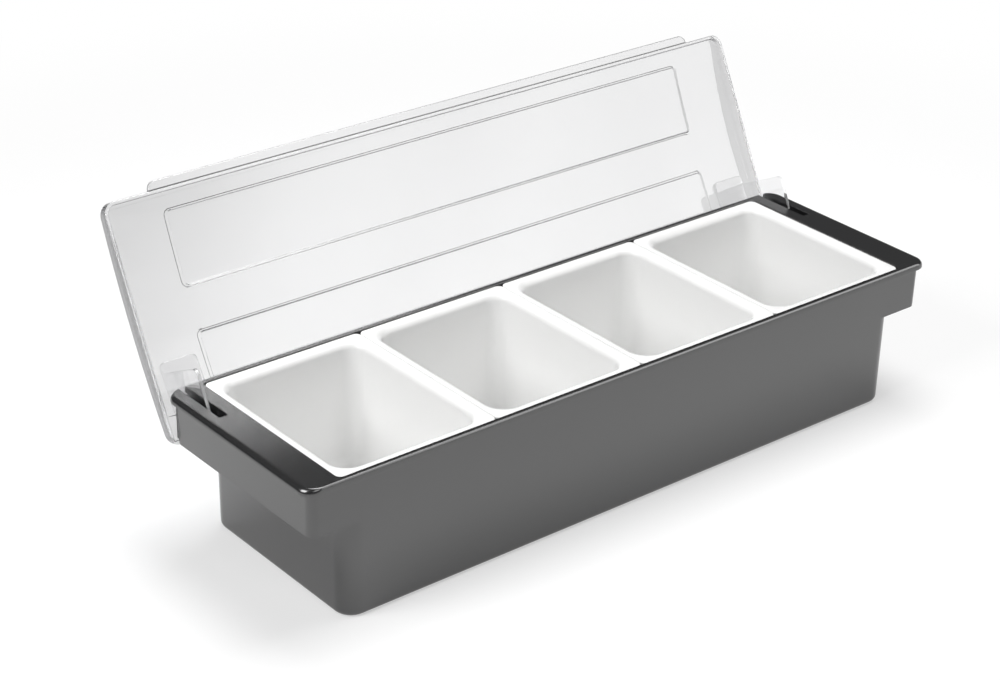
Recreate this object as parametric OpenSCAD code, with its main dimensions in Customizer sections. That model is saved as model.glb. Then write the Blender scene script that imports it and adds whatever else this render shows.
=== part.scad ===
// Condiment caddy: a grey tray with four lift-out white inserts and one clear lid on two clip
// hinges. Millimetres, +Z up. The origin is the middle of the underside. +X runs along the long
// side, -Y is the front and +Y the hinge side. The lid is drawn open, leaning on its stop.

/* [Tray] */
// Deck beyond the inserts, at each end
deck_end = 24; // [23:0.5:30]
// Deck in front of the inserts and behind them
deck_side = 4.1; // [4:0.1:8]
// Height of the deck above the table
tray_height = 96; // [80:1:120]
// Thickness of the rim and the deck
deck_t = 4.6; // [3.8:0.1:6]
// Radius of the rim's corners, seen from above
rim_r = 11; // [8:0.5:14]
// Height of the upright band below the rim's round upper edge
rim_band = 0.4; // [0.2:0.1:2]
// How far the rim stands out past the walls at the front and the back
rim_over_side = 2.8; // [2.6:0.1:3]
// How far the rim stands out past the walls at the two ends
rim_over_end = 4; // [2:0.1:5]
// Thickness of the tray's walls
wall_t = 2.5; // [2:0.1:3]
// Thickness of the tray's floor
floor_t = 3; // [2:0.1:5]
// Height of the shoulder, from the deck down to its lower edge
shoulder_h = 32.5; // [32:0.5:45]
// Radius of the shoulder's upright corners
shoulder_r = 6; // [4:0.5:10]
// Radius of the lower body's upright corners
body_r = 13; // [8:0.5:14]
// Radius of the rounding along the bottom edge
foot_r = 4; // [2:0.5:6]
// Lean of the walls, in millimetres per millimetre of height
draft = 0.0105; // [0:0.0005:0.015]

/* [Inserts] */
// Distance from one insert to the next
pitch = 111.75; // [90:0.25:130]
// Gap between the rims of two inserts
insert_gap = 0.4; // [0.2:0.1:1]
// Depth of an insert's rim, front to back
insert_depth = 136.8; // [110:0.2:160]
// Thickness of an insert's rim
insert_rim_t = 2; // [1.5:0.1:2.4]
// Radius of the corners of an insert's rim
insert_rim_r = 4; // [2:0.5:6]
// Width of the flat rim, from its outer edge to the hollow
rim_w = 7; // [6:0.1:9]
// Gap between an insert's underside and the tray's floor
insert_lift = 6.4; // [2:0.1:20]
// Thickness of an insert's walls
insert_wall = 1.8; // [1.4:0.1:2.4]
// Thickness of an insert's floor
insert_floor_t = 2.2; // [1.5:0.1:3]
// How much narrower the hollow is at the floor than at the rim, on each side
insert_taper = 3.5; // [1.5:0.5:6]
// Radius of the hollow's upright corners
hollow_r = 12; // [8:0.5:16]
// Radius of the hollow's edge along its floor
hollow_foot_r = 9; // [4:0.5:12]

/* [Seat] */
// Depth of the pocket that holds the insert rims
seat_depth = 2.6; // [2.4:0.1:2.8]
// Gap between the insert rims and the pocket around them
seat_gap = 0.4; // [0.2:0.1:0.8]
// Width of the ledge that the insert rims rest on
ledge_w = 3.6; // [2.5:0.1:4]
// Gap between the inserts' walls and the walls of the lower body
body_gap = 0.4; // [0.3:0.1:3]

/* [Lid] */
// How far the lid's sides stand in from the ends of the rim
lid_in_end = 1.2; // [0:0.1:1.5]
// How far the lid's front edge stands in from the edge of the rim
lid_in_front = 1.3; // [0.8:0.1:1.6]
// How far the lid's back edge stands out past the edge of the rim
lid_over_back = 4.1; // [3:0.1:5]
// Thickness of the clear sheet
lid_t = 2.2; // [1.8:0.1:2.5]
// Height of the skirt at the front edge
skirt_h = 6.4; // [6.2:0.1:8]
// Rise of the arched top above its front and back edges
lid_rise = 4.2; // [2:0.1:6]
// Radius of the lid's corners, seen from above
lid_r = 8; // [4:0.5:12]
// Gap between the closed lid's skirt and the deck
lid_rest_gap = 0.3; // [0.2:0.1:1]
// How far the finger lip stops short of the lid's sides
lip_in = 31.3; // [10:0.1:150]
// How far the finger lip stands out
lip_out = 5.6; // [4:0.1:8]
// Thickness of the finger lip
lip_t = 2; // [1.5:0.1:3]
// How far the raised panels stop short of the lid's sides
panel_in = 40.9; // [38:0.1:80]
// Depth of each raised panel
panel_depth = 48; // [30:0.5:53]
// Clear sheet between the two raised panels
panel_space = 26.6; // [20:0.2:30]
// How far the raised panels stand up
panel_rise = 1.2; // [0.6:0.1:1.8]
// Radius of the raised panels' corners
panel_r = 4; // [2:0.5:8]

/* [Hinge] */
// Distance of the hinge axis in front of the rim's back edge
axis_in = 11.7; // [11.5:0.1:12]
// Distance of the hinge axis below the deck
axis_down = 14; // [13.8:0.1:14.5]
// How far the lid opens from closed
open_angle = 117; // [105:1:117]
// Distance from the middle of a clip's blade to the end of the rim
clip_in = 12; // [11.9:0.1:12.5]
// Thickness of a clip's blade
clip_t = 2.5; // [2:0.1:3]
// Distance of a clip's front edge in front of the hinge axis, lid closed
clip_front = 27; // [24:0.5:32]
// Distance of a clip's back edge behind the hinge axis, lid closed
clip_back = 5.2; // [4.5:0.1:5.4]
// Distance of a clip's lower edge below the hinge axis, lid closed
clip_down = 20.8; // [16:0.2:22]
// Radius of the corner at a clip's lower front end
clip_corner_r = 4; // [2:0.5:6]
// Radius of the corner at a clip's lower back end
clip_heel_r = 5; // [1:0.5:6]
// Width of a clip's foot on the lid
foot_w = 25.2; // [12:0.2:25.6]
// Thickness of a clip's foot
foot_t = 2; // [1.5:0.1:2.2]
// How far a clip's foot runs on in front of the blade
foot_ahead = 6.2; // [2:0.2:8]
// Diameter of a clip's pivot
pivot_d = 6; // [5:0.1:7]
// Clearance of the pivot in its bore, on the radius
pivot_gap = 0.05; // [0.02:0.01:0.1]
// Width of the slot that a clip swings in
slot_w = 5.4; // [4.8:0.1:5.6]
// Gap between the swinging clip and the front end of its slot
slot_gap = 0.6; // [0.3:0.1:2]
// Thickness of the inner cheek beside a slot
cheek_t = 2.5; // [2:0.1:2.6]
// Gap between an open clip and the foot of its notch
stop_gap = 0.15; // [0.1:0.05:0.4]

/* [Hidden] */
$fn = 96;
skin = 0.01;
soft_fn = 32;
arch_fn = 960;
past = 1;

// inserts and the pocket that they hang in
insert_count = 4;
insert_w = pitch - insert_gap;
block_len = insert_count * pitch - insert_gap;
seat_z = tray_height - seat_depth;
hollow_w = insert_w - 2 * rim_w;
hollow_depth = insert_depth - 2 * rim_w;
seat_len = block_len + 2 * seat_gap;
seat_width = insert_depth + 2 * seat_gap;
insert_top = seat_z + insert_rim_t;
insert_low = floor_t + insert_lift;

// tray
tray_len = insert_count * pitch + 2 * deck_end;
tray_depth = insert_depth + 2 * deck_side;
half_len = tray_len / 2;
half_depth = tray_depth / 2;
shoulder_len = tray_len - 2 * rim_over_end;
shoulder_depth = tray_depth - 2 * rim_over_side;
body_len = block_len - 2 * rim_w + 2 * (insert_wall + body_gap + wall_t);
wall_top = tray_height - deck_t;
rim_edge_r = deck_t - rim_band;
shoulder_z = tray_height - shoulder_h;

// lid, in its closed place above the deck
lid_len = tray_len - 2 * lid_in_end;
lid_front = lid_in_front - half_depth;
lid_back = half_depth + lid_over_back;
lid_depth = lid_back - lid_front;
lid_mid = (lid_front + lid_back) / 2;
lid_z = tray_height + lid_rest_gap;
edge_z = lid_z + skirt_h;
crown_z = edge_z + lid_rise;
arch_r = (pow(lid_depth / 2, 2) + pow(lid_rise, 2)) / (2 * lid_rise);
arch_z = crown_z - arch_r;
lid_zone = 40;
panel_wall = 1.4;

// hinge
axis_y = half_depth - axis_in;
axis_z = tray_height - axis_down;
clip_x = half_len - clip_in;
clip_out = clip_x + clip_t / 2;
slot_in = clip_x - slot_w / 2;
slot_out = clip_x + slot_w / 2;
clip_reach = norm([clip_front, clip_down] - [clip_corner_r, clip_corner_r]) + clip_corner_r;
slot_y = axis_y - clip_reach - slot_gap;
notch_y = half_depth - rim_over_side - wall_t;
// the side skirts are cut away round the axis, clear of the rim's round back corner
swing_gap = 0.4;
corner_x = max(lid_len / 2 - lid_t - (half_len - rim_r), 0);
relief_r = swing_gap + max([for (a = [0:5:90])
    let (r = rim_r - rim_edge_r * (1 - cos(a)),
         y = half_depth - rim_r + sqrt(max(pow(r, 2) - pow(corner_x, 2), 0)))
    norm([y - axis_y, axis_down - rim_edge_r * (1 - sin(a))])]);
// foot of the notch: where the open clip's back edge crosses the outside of the back wall
notch_z = axis_z + ((shoulder_depth / 2 - axis_y) * cos(open_angle) - clip_back - stop_gap)
    / sin(open_angle);
// a clip's foot ends where its underside still swings past the rim's back edge
foot_rise = arch_z + sqrt(pow(arch_r - lid_t - foot_t, 2) - pow(axis_y - lid_mid, 2)) - axis_z;
foot_reach = norm([axis_in, axis_down] - [rim_edge_r, rim_edge_r]) + rim_edge_r + swing_gap;
foot_y0 = axis_y - clip_front - foot_ahead;
foot_y1 = axis_y - sqrt(max(pow(foot_reach, 2) - pow(foot_rise, 2), 0));

// a rectangle with round corners, centred
module plate(len, wid, r) {
    square([len - 2 * r, wid], center = true);
    square([len, wid - 2 * r], center = true);
    for (x = [-1, 1], y = [-1, 1])
        translate([x * (len / 2 - r), y * (wid / 2 - r)]) circle(r = r);
}

// a quarter of a disc, the section of a rounded edge
module quarter(r) {
    intersection() {
        circle(r = r);
        square(r);
    }
}

// a plate with round corners and a round upper edge
module soft_plate(len, wid, r, t, edge) {
    x = len / 2 - r;
    y = wid / 2 - r;
    linear_extrude(t - edge) plate(len, wid, r);
    linear_extrude(t) plate(len - 2 * edge, wid - 2 * edge, r - edge);
    translate([0, 0, t - edge]) for (a = [0, 180]) rotate([0, 0, a]) {
        translate([-x, wid / 2 - edge, 0]) rotate([90, 0, 90]) linear_extrude(2 * x) quarter(edge);
        translate([len / 2 - edge, y, 0]) rotate([90, 0, 0]) linear_extrude(2 * y) quarter(edge);
        translate([x, y, 0]) rotate_extrude(angle = 90) translate([r - edge, 0]) quarter(edge);
        translate([-x, y, 0]) rotate([0, 0, 90]) rotate_extrude(angle = 90)
            translate([r - edge, 0]) quarter(edge);
    }
}

// one thin slice of a tub, for the hulls below
module slice(len, wid, r, z) {
    translate([0, 0, z]) linear_extrude(skin) plate(len, wid, r, $fn = soft_fn);
}

// a leaning-walled tub: top size, height, how much each side stands in at the bottom,
// corner radius and the radius along the bottom edge
module tub(len, wid, r, z0, z1, lean, foot) {
    hull() {
        slice(len, wid, r, z1 - skin);
        for (a = [0:18:90]) {
            z = z0 + foot * (1 - sin(a));
            in = lean * (z1 - z) / (z1 - z0) + foot * (1 - cos(a));
            slice(len - 2 * in, wid - 2 * in, max(r - in, 1), z);
        }
    }
}

// a block whose walls lean at the tray's draft, as tall as z0 to z1
module drafted(len, wid, r, z0, z1) {
    in = draft * (z1 - z0);
    hull() {
        slice(len, wid, r, z1 - skin);
        slice(len - 2 * in, wid - 2 * in, r, z0);
    }
}

// a cylinder along X through the point (y, z)
module bar_x(r, len, y, z) {
    translate([-len / 2, y, z]) rotate([0, 90, 0])
        cylinder(r = r, h = len, $fn = r > lid_len ? arch_fn : $fn);
}

module both_ends() {
    children();
    mirror([1, 0, 0]) children();
}

// cheeks under the deck that carry a clip's pivot, with the wall in front of the slot
module cheeks() {
    low = shoulder_z + wall_t;
    back = notch_y + past;
    end_in = shoulder_len / 2 - past;
    translate([slot_in - cheek_t, slot_y - cheek_t, low])
        cube([cheek_t, back - slot_y + cheek_t, wall_top - low + past]);
    translate([slot_out, slot_y - cheek_t, low])
        cube([end_in - slot_out, back - slot_y + cheek_t, wall_top - low + past]);
    translate([slot_in - past, slot_y - cheek_t, low])
        cube([slot_w + 2 * past, cheek_t, wall_top - low + past]);
}

// the hollow of one wing of the shoulder, open below
module wing_hollow() {
    x0 = body_len / 2;
    x1 = shoulder_len / 2 - wall_t;
    in_r = shoulder_r - wall_t;
    translate([0, 0, shoulder_z - past]) linear_extrude(wall_top - shoulder_z + past)
        difference() {
            plate(2 * x1, shoulder_depth - 2 * (wall_t + draft * shoulder_h), in_r);
            square([2 * x0, tray_depth], center = true);
        }
}

// the slot through the deck, open at the back down to the notch's foot
module slot() {
    translate([slot_in, slot_y, shoulder_z - past])
        cube([slot_w, notch_y - slot_y, shoulder_h + 2 * past]);
    translate([slot_in, notch_y - past, notch_z])
        cube([slot_w, half_depth - notch_y + 2 * past, tray_height - notch_z + past]);
}

module base() {
    color([0.2, 0.2, 0.21])
    difference() {
        union() {
            difference() {
                union() {
                    translate([0, 0, wall_top])
                        soft_plate(tray_len, tray_depth, rim_r, deck_t, rim_edge_r);
                    drafted(shoulder_len, shoulder_depth, shoulder_r, shoulder_z,
                            wall_top + skin);
                }
                wing_hollow();
            }
            both_ends() cheeks();
            tub(body_len, shoulder_depth, body_r, 0, wall_top + skin,
                draft * wall_top, foot_r);
        }
        // hollow of the body, up to the ledge
        tub(body_len - 2 * wall_t, shoulder_depth - 2 * wall_t, body_r - wall_t,
            floor_t, wall_top, draft * (wall_top - floor_t), foot_r);
        // pocket for the insert rims, and the opening inside its ledge
        translate([0, 0, seat_z]) linear_extrude(seat_depth + past)
            plate(seat_len, seat_width, insert_rim_r);
        translate([0, 0, wall_top - past]) linear_extrude(deck_t + past)
            plate(seat_len - 2 * ledge_w, seat_width - 2 * ledge_w, hollow_r);
        both_ends() slot();
        both_ends() translate([slot_in - cheek_t - past, axis_y, axis_z])
            rotate([0, 90, 0]) cylinder(d = pivot_d + 2 * pivot_gap,
                h = slot_w + 2 * cheek_t + past);
    }
}

// one insert, hanging by its rim at place i of four
module insert(i) {
    x = (i - (insert_count + 1) / 2) * pitch;
    color([0.93, 0.93, 0.91]) translate([x, 0, 0])
    difference() {
        union() {
            translate([0, 0, seat_z]) linear_extrude(insert_rim_t)
                plate(insert_w, insert_depth, insert_rim_r);
            tub(hollow_w + 2 * insert_wall, hollow_depth + 2 * insert_wall,
                hollow_r + insert_wall, insert_low, seat_z + skin, insert_taper,
                hollow_foot_r + insert_wall);
        }
        tub(hollow_w, hollow_depth, hollow_r, insert_low + insert_floor_t, insert_top + skin,
            insert_taper, hollow_foot_r);
    }
}

module insert_1() { insert(1); }
module insert_2() { insert(2); }
module insert_3() { insert(3); }
module insert_4() { insert(4); }

// turns a piece from its closed place to where the photograph shows it
module opened() {
    translate([0, axis_y, axis_z]) rotate([-open_angle, 0, 0])
        translate([0, -axis_y, -axis_z]) children();
}

// everything under the arch that lies in by the given distance
module under_arch(in) {
    bar_x(arch_r - in, lid_len + 2 * past, lid_mid, arch_z);
}

module lid_block(in, low) {
    intersection() {
        translate([0, lid_mid, low]) linear_extrude(lid_zone)
            plate(lid_len - 2 * in, lid_depth - 2 * in, lid_r - in);
        under_arch(in);
    }
}

// the two raised panels of the lid, as a block that follows the arch
module panels(in, rise) {
    step = (panel_depth + panel_space) / 2;
    intersection() {
        for (y = [-step, step])
            translate([0, lid_mid + y, lid_z]) linear_extrude(lid_zone)
                plate(lid_len - 2 * (panel_in + in), panel_depth - 2 * in, panel_r - in);
        bar_x(arch_r + rise, lid_len, lid_mid, arch_z);
    }
}

module lid() {
    color([0.85, 0.9, 0.92, 0.35]) opened()
    difference() {
        union() {
            lid_block(0, lid_z);
            panels(0, panel_rise);
            translate([0, lid_front, lid_z]) linear_extrude(lip_t)
                plate(lid_len - 2 * lip_in, 2 * lip_out, lip_out - skin);
        }
        lid_block(lid_t, lid_z - past);
        panels(panel_wall, panel_rise - lid_t);
        // no skirt along the back, where the lid swings down behind the tray
        intersection() {
            under_arch(lid_t);
            translate([0, axis_y + lid_zone / 2, lid_z]) cube(
                [lid_len - 2 * lid_t, lid_zone, 2 * lid_zone], center = true);
        }
        // the side skirts clear the rim's back corners as they swing
        bar_x(relief_r, lid_len + 2 * past, axis_y, axis_z);
    }
}

// the outline of a clip's blade, seen from the left end: y to the right, z up
module blade_outline() {
    y0 = axis_y - clip_front;
    y1 = axis_y + clip_back;
    z0 = axis_z - clip_down;
    z1 = crown_z;
    r = clip_corner_r;
    h = clip_heel_r;
    translate([y0 + r, z0]) square([y1 - h - y0 - r, z1 - z0]);
    translate([y0, z0 + r]) square([y1 - h - y0, z1 - z0 - r]);
    translate([y1 - h - past, z0 + h]) square([h + past, z1 - z0 - h]);
    translate([y0 + r, z0 + r]) circle(r = r);
    translate([y1 - h, z0 + h]) circle(r = h);
}

// one clip hinge, on the right: a foot under the lid, a blade and its pivot
module clip() {
    bar = slot_w + 2 * cheek_t - 2 * seat_gap;
    union() {
        intersection() {
            translate([clip_out - clip_t, 0, 0]) rotate([90, 0, 90])
                linear_extrude(clip_t) blade_outline();
            under_arch(lid_t + skin);
        }
        difference() {
            intersection() {
                translate([clip_out - foot_w / 2, (foot_y0 + foot_y1) / 2, lid_z])
                    linear_extrude(lid_zone) plate(foot_w, foot_y1 - foot_y0, clip_corner_r);
                under_arch(lid_t + skin);
            }
            under_arch(lid_t + foot_t);
        }
        translate([clip_x - bar / 2, axis_y, axis_z]) rotate([0, 90, 0])
            cylinder(d = pivot_d, h = bar);
    }
}

module hinge_left() {
    color([0.85, 0.9, 0.92, 0.5]) opened() mirror([1, 0, 0]) clip();
}

module hinge_right() {
    color([0.85, 0.9, 0.92, 0.5]) opened() clip();
}

base();
insert_1();
insert_2();
insert_3();
insert_4();
lid();
hinge_left();
hinge_right();
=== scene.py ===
# %% [markdown]
# # A condiment caddy with a clear lid
# The object is a long grey tray. Four white inserts hang in it by their rims, and one clear lid
# stands open behind them on two clip hinges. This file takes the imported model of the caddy, gives
# each piece its moulded edges and its plastic, and lights it as a studio photograph of a product
# on white.

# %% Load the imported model
import math

import bmesh
import bpy
from mathutils import Matrix, Vector


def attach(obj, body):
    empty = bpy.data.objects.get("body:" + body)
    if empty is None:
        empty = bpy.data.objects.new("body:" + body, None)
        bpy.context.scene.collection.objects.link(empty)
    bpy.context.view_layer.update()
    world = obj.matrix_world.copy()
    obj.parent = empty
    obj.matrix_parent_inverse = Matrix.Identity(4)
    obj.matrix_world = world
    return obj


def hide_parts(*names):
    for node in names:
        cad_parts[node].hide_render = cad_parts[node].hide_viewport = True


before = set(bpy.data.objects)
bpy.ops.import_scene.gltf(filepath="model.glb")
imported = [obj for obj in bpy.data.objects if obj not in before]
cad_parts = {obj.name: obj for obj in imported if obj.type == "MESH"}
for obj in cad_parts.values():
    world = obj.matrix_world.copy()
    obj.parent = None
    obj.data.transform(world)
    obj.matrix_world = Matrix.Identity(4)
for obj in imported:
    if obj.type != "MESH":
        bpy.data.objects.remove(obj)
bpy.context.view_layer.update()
scene = bpy.context.scene
print("pieces of the model:", ", ".join(sorted(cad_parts)))

# %% [markdown]
# ## Rings and lofts
# Blender works in metres and the caddy is measured in millimetres, so one value turns one into
# the other. An insert is a moulded tub, and a tub is one outline that is pulled in or pushed out
# as it goes up and down. So its mesh is a stack of rings, each a rectangle with round corners,
# and four-sided faces join each ring to the next. This is called a loft.

# %% Rings and lofts
MM = 0.001
CORNER_STEPS = 12  # faces round each corner of a ring
SHARP = 40  # an edge that bends by more degrees than this is drawn sharp


def ring(half_x, half_y, radius, z):
    """A rectangle with round corners at height z, as a list of points in millimetres."""
    points = []
    for quarter, (sx, sy) in enumerate(((1, 1), (-1, 1), (-1, -1), (1, -1))):
        for step in range(CORNER_STEPS + 1):
            a = math.radians(90 * (quarter + step / CORNER_STEPS))
            x = sx * (half_x - radius) + radius * math.cos(a)
            y = sy * (half_y - radius) + radius * math.sin(a)
            points.append((x, y, z))
    return points


def quarter_turn(steps):
    """The sine and cosine of angles from 0 to 90 degrees: where a round edge bends."""
    angles = [math.pi / 2 * i / steps for i in range(steps + 1)]
    return [(math.sin(a), math.cos(a)) for a in angles]


def finish_mesh(name, bm):
    """Turns a bmesh into an object that looks smooth wherever it bends only a little."""
    mesh = bpy.data.meshes.new(name)
    bm.to_mesh(mesh)
    bm.free()
    mesh.shade_smooth()
    mesh.set_sharp_from_angle(angle=math.radians(SHARP))
    piece = bpy.data.objects.new(name, mesh)
    scene.collection.objects.link(piece)
    return piece


def loft(name, rings, frame_shaped=False):
    """Joins rings into a closed skin. The ends get flat faces, or meet if it is frame-shaped."""
    bm = bmesh.new()
    rows = [[bm.verts.new(Vector(p) * MM) for p in points] for points in rings]
    pairs = list(zip(rows, rows[1:]))
    if frame_shaped:
        pairs.append((rows[-1], rows[0]))
    else:
        bm.faces.new(list(reversed(rows[0])))
        bm.faces.new(rows[-1])
    for low, high in pairs:
        for i in range(len(low)):
            j = (i + 1) % len(low)
            bm.faces.new((low[i], low[j], high[j], high[i]))
    bmesh.ops.recalc_face_normals(bm, faces=bm.faces)
    return finish_mesh(name, bm)


print("points in a ring:", len(ring(50, 60, 10, 0)))

# %% [markdown]
# ## The four inserts
# One loft makes a whole insert: it starts at the underside, climbs the outside, goes over the
# rim and comes down the hollow to the floor. Each wall leans in a little towards the floor, so
# that the tub leaves its mould. Three round edges give the insert its soft look: a small one
# along the outside of the rim, a wide one where the rim rolls over into the hollow, and a wider
# one where the walls meet the floor, so that the tub can be wiped out.

# %% Sizes of an insert
INSERTS = 4
PITCH = 111.75  # from one insert to the next
RIM_HALF = (55.675, 68.4)
RIM_TOP, RIM_LOW = 95.4, 93.4
RIM_CORNER = 4
HOLLOW_HALF = (48.675, 61.4)
HOLLOW_CORNER = 12
UNDERSIDE = 9.4
FLOOR_TOP = 11.6
WALL = 1.8
LEAN = 3.5  # how much each wall comes in between the rim and the floor
EASE = 0.5  # round along the rim's outer edge
ROLL = 5  # round from the rim into the hollow
FOOT = 9  # round from the walls into the floor
SMALLEST_CORNER = 1
EASE_STEPS, ROLL_STEPS = 4, 8  # faces across each round
OUTER_FOOT_STEPS, INNER_FOOT_STEPS = 9, 10
print("an insert is", 2 * RIM_HALF[0], "by", 2 * RIM_HALF[1], "mm")

# %% [markdown]
# The rings come from three functions, one for each part of the way round the wall. `quarter_turn`
# gives the points of each round edge, and the ring is set in by as much as the round has turned.

# %% Inserts


def inset_at(z, low, high):
    """How far the leaning wall has come in at height z."""
    return LEAN * (high - z) / (high - low)


def outside_rings():
    hx, hy = (half + WALL for half in HOLLOW_HALF)
    corner, foot = HOLLOW_CORNER + WALL, FOOT + WALL
    rings = []
    for s, c in quarter_turn(OUTER_FOOT_STEPS):
        z = UNDERSIDE + foot * (1 - c)
        inset = inset_at(z, UNDERSIDE, RIM_LOW) + foot * (1 - s)
        rings.append(ring(hx - inset, hy - inset, max(corner - inset, SMALLEST_CORNER), z))
    rings.append(ring(hx, hy, corner, RIM_LOW))
    return rings


def rim_rings():
    rx, ry = RIM_HALF
    rings = [ring(rx - EASE, ry - EASE, RIM_CORNER - EASE, RIM_LOW)]
    for low, high in ((RIM_LOW, 1), (RIM_TOP, -1)):
        for s, c in quarter_turn(EASE_STEPS)[::high]:
            inset = EASE * (1 - s)
            z = low + high * EASE * (1 - c)
            rings.append(ring(rx - inset, ry - inset, RIM_CORNER - inset, z))
    hx, hy = HOLLOW_HALF
    for s, c in quarter_turn(ROLL_STEPS):
        out = ROLL * (1 - s)
        z = RIM_TOP - ROLL * (1 - c)
        rings.append(ring(hx + out, hy + out, HOLLOW_CORNER + out, z))
    return rings


def inside_rings():
    hx, hy = HOLLOW_HALF
    rings = []
    top, low = RIM_TOP - ROLL, FLOOR_TOP + FOOT
    for share in (0.25, 0.5, 0.75):
        z = top + (low - top) * share
        inset = inset_at(z, FLOOR_TOP, top)
        rings.append(ring(hx - inset, hy - inset, HOLLOW_CORNER - inset, z))
    for s, c in reversed(quarter_turn(INNER_FOOT_STEPS)):
        z = FLOOR_TOP + FOOT * (1 - c)
        inset = inset_at(z, FLOOR_TOP, top) + FOOT * (1 - s)
        corner = max(HOLLOW_CORNER - inset, SMALLEST_CORNER)
        rings.append(ring(hx - inset, hy - inset, corner, z))
    return rings


inserts = []
for number in range(1, INSERTS + 1):
    cad_node = f"insert_{number}"
    tub = loft(f"{cad_node}_tub", outside_rings() + rim_rings() + inside_rings())
    for vertex in tub.data.vertices:
        vertex.co.x += (number - (INSERTS + 1) / 2) * PITCH * MM
    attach(tub, cad_node)
    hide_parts(cad_node)
    inserts.append(tub)
print("inserts:", len(inserts), "with", len(inserts[0].data.polygons), "faces each")

# %% [markdown]
# ## Eased edges
# No moulded edge is perfectly sharp, and light needs a small round to draw its line along it. A
# Bevel modifier makes that round. Its overlap clamp is off, because one short edge anywhere in a
# piece would otherwise shrink every round to nothing. A Weighted Normal modifier comes after it:
# it lets the large flat faces decide how the light falls, so that they stay flat.

# %% Eased edges
BEND = 35  # edges that bend by more degrees than this are rounded
FLAT = 0.2  # faces that bend by less degrees than this are joined
WELD = 1e-6  # points closer than this, in metres, become one


def ease(piece, width, segments=3):
    """Rounds every sharp edge of a piece by that width in millimetres."""
    bevel = piece.modifiers.new("eased edges", "BEVEL")
    bevel.limit_method = "ANGLE"
    bevel.angle_limit = math.radians(BEND)
    bevel.width = width * MM
    bevel.segments = segments
    bevel.use_clamp_overlap = False
    bevel.miter_outer = "MITER_ARC"
    shading = piece.modifiers.new("flat faces lead", "WEIGHTED_NORMAL")
    shading.keep_sharp = True


def belongs(piece, body, cad_node):
    """The piece moves with that body and stands for that CAD node."""
    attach(piece, body)
    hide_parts(cad_node)


def cad_copy(cad_node, name, top=None):
    """A copy of a CAD piece, with its flat faces joined, and cut off level at a height."""
    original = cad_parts[cad_node]
    bm = bmesh.new()
    bm.from_mesh(original.data)
    bm.transform(original.matrix_world)
    bmesh.ops.remove_doubles(bm, verts=bm.verts, dist=WELD)
    if top:
        parts = bm.verts[:] + bm.edges[:] + bm.faces[:]
        level = {"plane_co": (0, 0, top * MM), "plane_no": (0, 0, 1)}
        cut = bmesh.ops.bisect_plane(bm, geom=parts, clear_outer=True, **level)
        edges = [e for e in cut["geom_cut"] if isinstance(e, bmesh.types.BMEdge)]
        bmesh.ops.triangle_fill(bm, edges=edges, use_dissolve=True)
    flat = math.radians(FLAT)
    bmesh.ops.dissolve_limit(bm, angle_limit=flat, verts=bm.verts, edges=bm.edges)
    return finish_mesh(name, bm)


print("edges are eased above", BEND, "degrees")

# %% [markdown]
# ## The tray
# The walls, the shoulder and the cheeks that hold the hinges are the model's own shape. The rim
# is made anew, because its edge is the line that the eye follows: it falls away over 4 mm at the
# two ends, where a hand lifts it, and is much tighter along the front and the back. That is one
# loft again, shaped like a picture frame: up the outer edge, over the deck, down into the pocket
# that holds the inserts, and back underneath.

# %% Rings of the rim
DECK_TOP, DECK_LOW = 96, 91.4
RIM_OUT = (247.5, 72.5)
RIM_TURN = 9.5  # corner of the rim, seen from above
FALL = (4, 1.2)  # how far the rim's round edge comes in: at the ends, at the front and back
FALL_DEPTH = 3.8  # how far down the round edge reaches
FALL_STEPS = 8
POCKET_HALF = (223.7, 68.8)
POCKET_LOW = 93.4
LEDGE = 3.6  # the inserts rest on a ledge this wide


def deck_rings():
    ox, oy = RIM_OUT
    rings = [ring(ox, oy, RIM_TURN, DECK_LOW)]
    for s, c in quarter_turn(FALL_STEPS):
        inset_x, inset_y = FALL[0] * (1 - c), FALL[1] * (1 - c)
        z = DECK_TOP - FALL_DEPTH * (1 - s)
        rings.append(ring(ox - inset_x, oy - inset_y, RIM_TURN - inset_y, z))
    px, py = POCKET_HALF
    for z in (DECK_TOP, POCKET_LOW):
        rings.append(ring(px, py, RIM_CORNER, z))
    for z in (POCKET_LOW, DECK_LOW):
        rings.append(ring(px - LEDGE, py - LEDGE, HOLLOW_CORNER, z))
    return rings


print("rings of the rim:", len(deck_rings()))

# %% [markdown]
# Near each end the deck has a slot, open at the back, that a clip swings in. A Boolean modifier
# takes a box away from the rim. Its result is stored as the rim's own mesh, so that the box can
# be deleted.

# %% Cutting a box out
SLOT_X = (232.8, 238.2)
SLOT_FRONT = 27.72
PAST = 5  # the cutting box goes this far past the rim


def cut_box(piece, low, high):
    """Cuts a box out of a piece. The box goes from corner low to corner high, in millimetres."""
    bm = bmesh.new()
    bmesh.ops.create_cube(bm, size=1)
    for vertex in bm.verts:
        for axis in range(3):
            vertex.co[axis] = (low[axis], high[axis])[vertex.co[axis] > 0] * MM
    cutter = finish_mesh("cutter", bm)
    cut = piece.modifiers.new("cut", "BOOLEAN")
    cut.object = cutter
    shape = piece.evaluated_get(bpy.context.evaluated_depsgraph_get())
    mesh = bpy.data.meshes.new_from_object(shape)
    piece.modifiers.remove(cut)
    piece.data = mesh
    mesh.set_sharp_from_angle(angle=math.radians(SHARP))
    bpy.data.objects.remove(cutter)


print("slots:", SLOT_X[1] - SLOT_X[0], "mm wide")

# %% [markdown]
# The walls are cut off a hair below the rim, so that no two faces lie in one plane.

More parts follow.
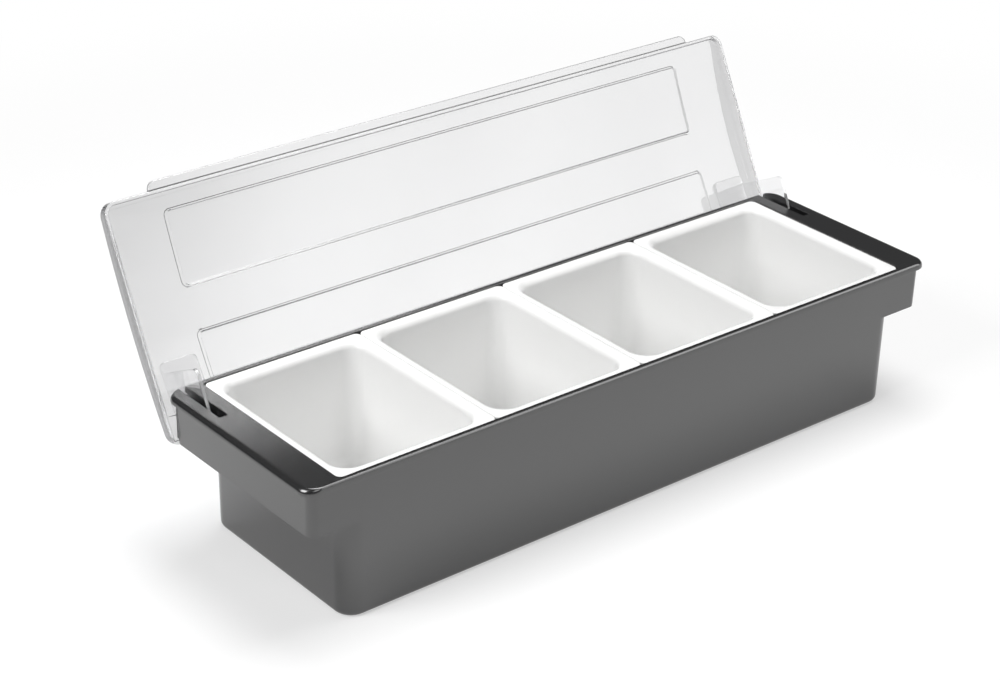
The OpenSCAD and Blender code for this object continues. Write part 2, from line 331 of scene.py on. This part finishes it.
# %% Tray
HAIR = 0.01
walls = cad_copy("base", "tray_walls", top=DECK_LOW - HAIR)
deck = loft("tray_rim", deck_rings(), frame_shaped=True)
for side in (-1, 1):
    x0, x1 = sorted(side * x for x in SLOT_X)
    cut_box(deck, (x0, SLOT_FRONT, DECK_LOW - PAST), (x1, RIM_OUT[1] + PAST, DECK_TOP + PAST))
ease(deck, 0.4)
tray = [walls, deck]
for piece in tray:
    belongs(piece, "tray", "base")
print("tray rim:", len(deck.data.polygons), "faces, walls:", len(walls.data.polygons))

# %% [markdown]
# ## Lid and clips
# The lid and its two clips keep the model's shape, with eased edges. On clear plastic those
# small rounds matter most: they are the only lines that show.

# %% Lid and clips
lid = cad_copy("lid", "lid_sheet")
clips = [cad_copy(f"hinge_{side}", f"clip_{side}") for side in ("left", "right")]
ease(lid, 0.6)
belongs(lid, "lid_assembly", "lid")
for side, clip in zip(("left", "right"), clips):
    ease(clip, 0.3, 2)
    belongs(clip, "lid_assembly", f"hinge_{side}")
print("lid:", len(lid.data.polygons), "faces")

# %% [markdown]
# ## Materials
# Each plastic is one shader with a little noise in it, because a moulded surface is never quite
# even. `mottled` gives the colour a slow drift of a few per cent and bends the surface by a fine
# grain. The noise reads the piece's own coordinates, so it moves with the piece.

# %% Tools for materials


def material(name, roughness, **sockets):
    m = bpy.data.materials.new(name)
    m.use_nodes = True
    shader = m.node_tree.nodes["Principled BSDF"]
    shader.inputs["Roughness"].default_value = roughness
    for key, value in sockets.items():
        shader.inputs[key.replace("_", " ")].default_value = value
    return m, shader


def add_node(tree, kind, **values):
    """Adds a node. A value goes to the input of that name, or else to the node's setting."""
    n = tree.nodes.new(kind)
    for key, value in values.items():
        socket = n.inputs.get(key.replace("_", " "))
        if socket:
            socket.default_value = value
        else:
            setattr(n, key, value)
    return n


def mottled(m, shader, dark, light, grain, depth):
    """Colour between dark and light, and a bump whose grains are that many millimetres wide."""
    tree = m.node_tree
    link = tree.links.new
    place = add_node(tree, "ShaderNodeTexCoord").outputs["Object"]
    drift = add_node(tree, "ShaderNodeTexNoise", Scale=9.0, Detail=3.0)
    ramp = add_node(tree, "ShaderNodeValToRGB")
    ramp.color_ramp.elements[0].position = 0.3
    ramp.color_ramp.elements[0].color = (*dark, 1)
    ramp.color_ramp.elements[1].position = 0.7
    ramp.color_ramp.elements[1].color = (*light, 1)
    link(place, drift.inputs["Vector"])
    link(drift.outputs["Fac"], ramp.inputs["Fac"])
    link(ramp.outputs["Color"], shader.inputs["Base Color"])
    fine = add_node(tree, "ShaderNodeTexNoise", Scale=1 / (grain * MM), Detail=2.0)
    bump = add_node(tree, "ShaderNodeBump", Strength=0.5, Distance=depth * MM)
    link(place, fine.inputs["Vector"])
    link(fine.outputs["Fac"], bump.inputs["Height"])
    link(bump.outputs["Normal"], shader.inputs["Normal"])


# %% [markdown]
# ### Grey and white, then clear
# The tray is dark grey ABS from a finely textured mould. Its colour is nearly black: most of the
# grey in its walls is the white floor, mirrored in the satin surface, so its mirror strength
# matters more than its colour. The inserts are white polypropylene.

# %% Grey and white
grey, grey_shader = material("satin_grey_abs", 0.22, Specular_IOR_Level=1.0, IOR=1.6)
mottled(grey, grey_shader, (0.011, 0.011, 0.0115), (0.014, 0.014, 0.0145), 0.5, 0.003)
white, white_shader = material("white_polypropylene", 0.25)
mottled(white, white_shader, (0.83, 0.83, 0.825), (0.85, 0.85, 0.845), 1.5, 0.002)
print("materials:", grey.name, "and", white.name)

# %% [markdown]
# The lid and the clips are clear polycarbonate with a fine stipple. Clear plastic shows by its
# edges. Here they are painted shade: a Layer Weight node mixes a dark grey into the colour where
# the camera looks along the surface. The clips bend the light less than the lid, so that their
# thin edges don't turn black. Light on its way to a lamp goes straight through, which is what
# the Mix Shader with Is Shadow Ray does, so that the shadow stays pale.

# %% Clear
A_COLOUR, B_COLOUR, COLOUR_OUT = 6, 7, 2  # places of a Mix node's sockets when it mixes colours
# Painted shade: the dark grey mixed into clear plastic where it turns aslant, which draws its
# edges.
PAINTED_EDGE_SHADE = (0.1, 0.1, 0.105, 1)
SHADOW_TINT = (0.9, 0.905, 0.91, 1)
DRIFT = 0.02  # how far the tint drifts to each side
BLUE = 0.004  # the plastic is this much bluer than grey


def clear_plastic(name, ior, tint, slant_from, slant_to):
    """Clear plastic with painted shade: grey as it turns aslant between two Layer Weight values."""
    glass, shader = material(
        name,
        0.03,
        Transmission_Weight=1.0,
        IOR=ior,
        Coat_Weight=1.0,
        Coat_IOR=1.58,
        Coat_Roughness=0.06,
    )
    tints = (tint - DRIFT, tint + DRIFT)
    dark, light = ((value, value, value + BLUE) for value in tints)
    mottled(glass, shader, dark, light, 0.8, 0.0025)
    tree = glass.node_tree
    link = tree.links.new
    slant = add_node(tree, "ShaderNodeLayerWeight", Blend=0.5)
    shade = add_node(tree, "ShaderNodeMapRange", interpolation_type="SMOOTHSTEP")
    shade.inputs["From Min"].default_value = slant_from
    shade.inputs["From Max"].default_value = slant_to
    # Painted shade: this mix darkens the colour where the surface turns aslant.
    edge = add_node(tree, "ShaderNodeMix", data_type="RGBA")
    edge.inputs[B_COLOUR].default_value = PAINTED_EDGE_SHADE
    plain = shader.inputs["Base Color"].links[0].from_socket
    link(slant.outputs["Facing"], shade.inputs["Value"])
    link(shade.outputs["Result"], edge.inputs["Factor"])
    link(plain, edge.inputs[A_COLOUR])
    link(edge.outputs[COLOUR_OUT], shader.inputs["Base Color"])
    path = add_node(tree, "ShaderNodeLightPath")
    thin = add_node(tree, "ShaderNodeBsdfTransparent", Color=SHADOW_TINT)
    mix = add_node(tree, "ShaderNodeMixShader")
    link(path.outputs["Is Shadow Ray"], mix.inputs["Fac"])
    link(shader.outputs["BSDF"], mix.inputs[1])
    link(thin.outputs["BSDF"], mix.inputs[2])
    link(mix.outputs["Shader"], tree.nodes["Material Output"].inputs["Surface"])
    return glass


clear_lid = clear_plastic("clear_lid_polycarbonate", 1.3, 0.7, 0.32, 0.6)
clear_clip = clear_plastic("clear_clip_polycarbonate", 1.1, 0.92, 0.6, 0.95)
finishes = ((grey, tray), (white, inserts), (clear_lid, [lid]), (clear_clip, clips))
for plastic, pieces in finishes:
    for piece in pieces:
        piece.data.materials.clear()
        piece.data.materials.append(plastic)
print("materials:", ", ".join(m.name for m, pieces in finishes))

# %% [markdown]
# ## The studio floor
# The floor is white paper. In the photograph it is as white as the page and only a soft shadow
# shows. So the camera sees a mix: a part that glows at strength 1, which is exactly white, and a
# part that is lit like paper and keeps the shadow. Glossy and transmitted rays see a mix too, so
# that the tray mirrors a floor that darkens near it, and the lid shows a white one. Further
# away the glow takes over, and the floor fades into the white of the page.

# %% Floor
FLOOR_HALF = 6.0
FACTOR, A_NUMBER, B_NUMBER = 0, 2, 3  # places of a Mix node's sockets when it mixes numbers
GLOW_SEEN = 0.45  # share of the glow near the caddy, where the camera sees the floor
NEAR, FAR = 0.4, 0.9  # the share grows between these distances, in metres, until all is glow
GLOW_MIRRORED = 0.3  # share of the glow in mirrored light


def ray_sum(tree, base, **shares):
    """A value that is base plus each share where the light path is of that kind."""
    light_path = add_node(tree, "ShaderNodeLightPath")
    total = None
    for kind, share in shares.items():
        add = add_node(tree, "ShaderNodeMath", operation="MULTIPLY_ADD")
        add.inputs[1].default_value = share
        add.inputs[2].default_value = base
        if total:
            tree.links.new(total, add.inputs[2])
        tree.links.new(light_path.outputs[kind.replace("_", " ")], add.inputs[0])
        total = add.outputs[0]
    return total


corners = [(-1, -1, 0), (1, -1, 0), (1, 1, 0), (-1, 1, 0)]
floor_mesh = bpy.data.meshes.new("floor")
floor_mesh.from_pydata([Vector(c) * FLOOR_HALF for c in corners], [], [(0, 1, 2, 3)])
floor = bpy.data.objects.new("floor", floor_mesh)
scene.collection.objects.link(floor)
paper, paper_shader = material("white_paper", 0.9, Specular_IOR_Level=0.0)
paper_shader.inputs["Base Color"].default_value = (0.93, 0.93, 0.93, 1)
tree = paper.node_tree
glow = add_node(tree, "ShaderNodeEmission", Color=(1, 1, 1, 1), Strength=1.0)
mix = add_node(tree, "ShaderNodeMixShader")
place = add_node(tree, "ShaderNodeTexCoord").outputs["Object"]
distance = add_node(tree, "ShaderNodeVectorMath", operation="LENGTH")
away = add_node(tree, "ShaderNodeMapRange", interpolation_type="SMOOTHSTEP")
away.inputs["From Min"].default_value = NEAR
away.inputs["From Max"].default_value = FAR
tree.links.new(place, distance.inputs[0])
tree.links.new(distance.outputs["Value"], away.inputs["Value"])
blend = add_node(tree, "ShaderNodeMix", data_type="FLOAT")
tree.links.new(away.outputs["Result"], blend.inputs[FACTOR])
for place_in, seen in ((A_NUMBER, GLOW_SEEN), (B_NUMBER, 1.0)):
    kinds = {
        "Is_Camera_Ray": seen,
        "Is_Glossy_Ray": GLOW_MIRRORED,
        "Is_Transmission_Ray": seen - GLOW_MIRRORED,
    }
    tree.links.new(ray_sum(tree, 0.0, **kinds), blend.inputs[place_in])
share = blend.outputs[0]
tree.links.new(share, mix.inputs["Fac"])
tree.links.new(paper_shader.outputs["BSDF"], mix.inputs[1])
tree.links.new(glow.outputs["Emission"], mix.inputs[2])
tree.links.new(mix.outputs["Shader"], tree.nodes["Material Output"].inputs["Surface"])
floor.data.materials.append(paper)
print("floor:", 2 * FLOOR_HALF, "m wide")

# %% [markdown]
# ## Lamps and surroundings
# A large soft box hangs over the caddy and lights the rims and the floor. A second one on the
# left lights the inside of the inserts from the side, and a third fills in from the front. A
# lamp's strength is written as the brightness of its face, where 1 is the white of the paper, and
# its power follows from that and its area.

# %% Lamps


def soft_box(name, place, target, size, brightness):
    data = bpy.data.lights.new(name, "AREA")
    data.shape = "RECTANGLE"
    data.size, data.size_y = size
    data.energy = brightness * math.pi * size[0] * size[1]
    lamp = bpy.data.objects.new(name, data)
    lamp.location = place
    aim = Vector(target) - Vector(place)
    lamp.rotation_euler = aim.to_track_quat("-Z", "Y").to_euler()
    scene.collection.objects.link(lamp)


soft_box("overhead", (0.35, 0.1, 1.5), (0.1, 0, 0.1), (1.1, 0.8), 7.5)
soft_box("left_side", (-1.3, 0.1, 0.95), (0, 0, 0.08), (0.8, 0.7), 8.0)
soft_box("front", (-0.3, -1.4, 1.1), (0, 0, 0.1), (0.9, 0.6), 3.0)

# %% [markdown]
# Everything else around the caddy is a dark room: the tray's deck mirrors it at the right end and
# goes nearly black there. Only in front on the right is there a white wall, which mirrored light
# alone sees. The lid mirrors it, so the lid grows brighter from its left end to its right end.

# %% Surroundings
AMBIENT = 0.1
DARK_ROOM = 0.1
SEEN_THROUGH = 0.7
WHITE_WALL = 3.0  # brightness of the white wall

world = bpy.data.worlds.new("studio")
scene.world = world
world.use_nodes = True
tree = world.node_tree
strength = ray_sum(
    tree,
    AMBIENT,
    Is_Glossy_Ray=DARK_ROOM - AMBIENT,
    Is_Transmission_Ray=SEEN_THROUGH - DARK_ROOM,
)
toward = add_node(tree, "ShaderNodeTexCoord").outputs["Generated"]


def soft_step(direction, start, end):
    """Rises from 0 to 1 as a ray turns towards that direction."""
    dot = add_node(tree, "ShaderNodeVectorMath", operation="DOT_PRODUCT")
    dot.inputs[1].default_value = direction
    step = add_node(tree, "ShaderNodeMapRange", interpolation_type="SMOOTHSTEP")
    step.inputs["From Min"].default_value = start
    step.inputs["From Max"].default_value = end
    tree.links.new(toward, dot.inputs[0])
    tree.links.new(dot.outputs["Value"], step.inputs["Value"])
    return step.outputs["Result"]


def join(operation, a, b):
    """A Math node that multiplies or adds two values."""
    node = add_node(tree, "ShaderNodeMath", operation=operation)
    tree.links.new(a, node.inputs[0])
    tree.links.new(b, node.inputs[1])
    return node.outputs[0]


to_the_right = soft_step((0.862, 0.508, 0), -0.06, 0.05)
to_the_front = soft_step((0, -1, 0), 0.2, 0.5)
wall = join("MULTIPLY", to_the_right, to_the_front)
mirrored = ray_sum(tree, 0.0, Is_Glossy_Ray=WHITE_WALL, Is_Transmission_Ray=-WHITE_WALL)
strength = join("ADD", strength, join("MULTIPLY", wall, mirrored))
tree.nodes["Background"].inputs["Color"].default_value = (1, 1, 1, 1)
tree.links.new(strength, tree.nodes["Background"].inputs["Strength"])
scene.view_settings.view_transform = "Standard"
print("surroundings:", world.name)

# %% [markdown]
# ## Camera
# The photograph was taken with a long lens from above the front left corner. The camera's place
# and its three directions were worked out from the straight edges of the tray in the picture.

# %% Camera
data = bpy.data.cameras.new("camera")
data.sensor_width = 36
data.lens = 86.342
data.clip_end = 50
camera = bpy.data.objects.new("camera", data)
right = Vector((0.778153, -0.627839, 0.017238))
up = Vector((0.273569, 0.363515, 0.890515))
back = Vector((-0.565366, -0.688241, 0.454627))
pose = Matrix((right, up, back)).transposed().to_4x4()
pose.translation = Vector((-0.874473, -0.997251, 0.759396))
camera.matrix_world = pose
scene.collection.objects.link(camera)
scene.camera = camera
print("camera:", data.lens, "mm lens,", round(pose.translation.length, 2), "m away")
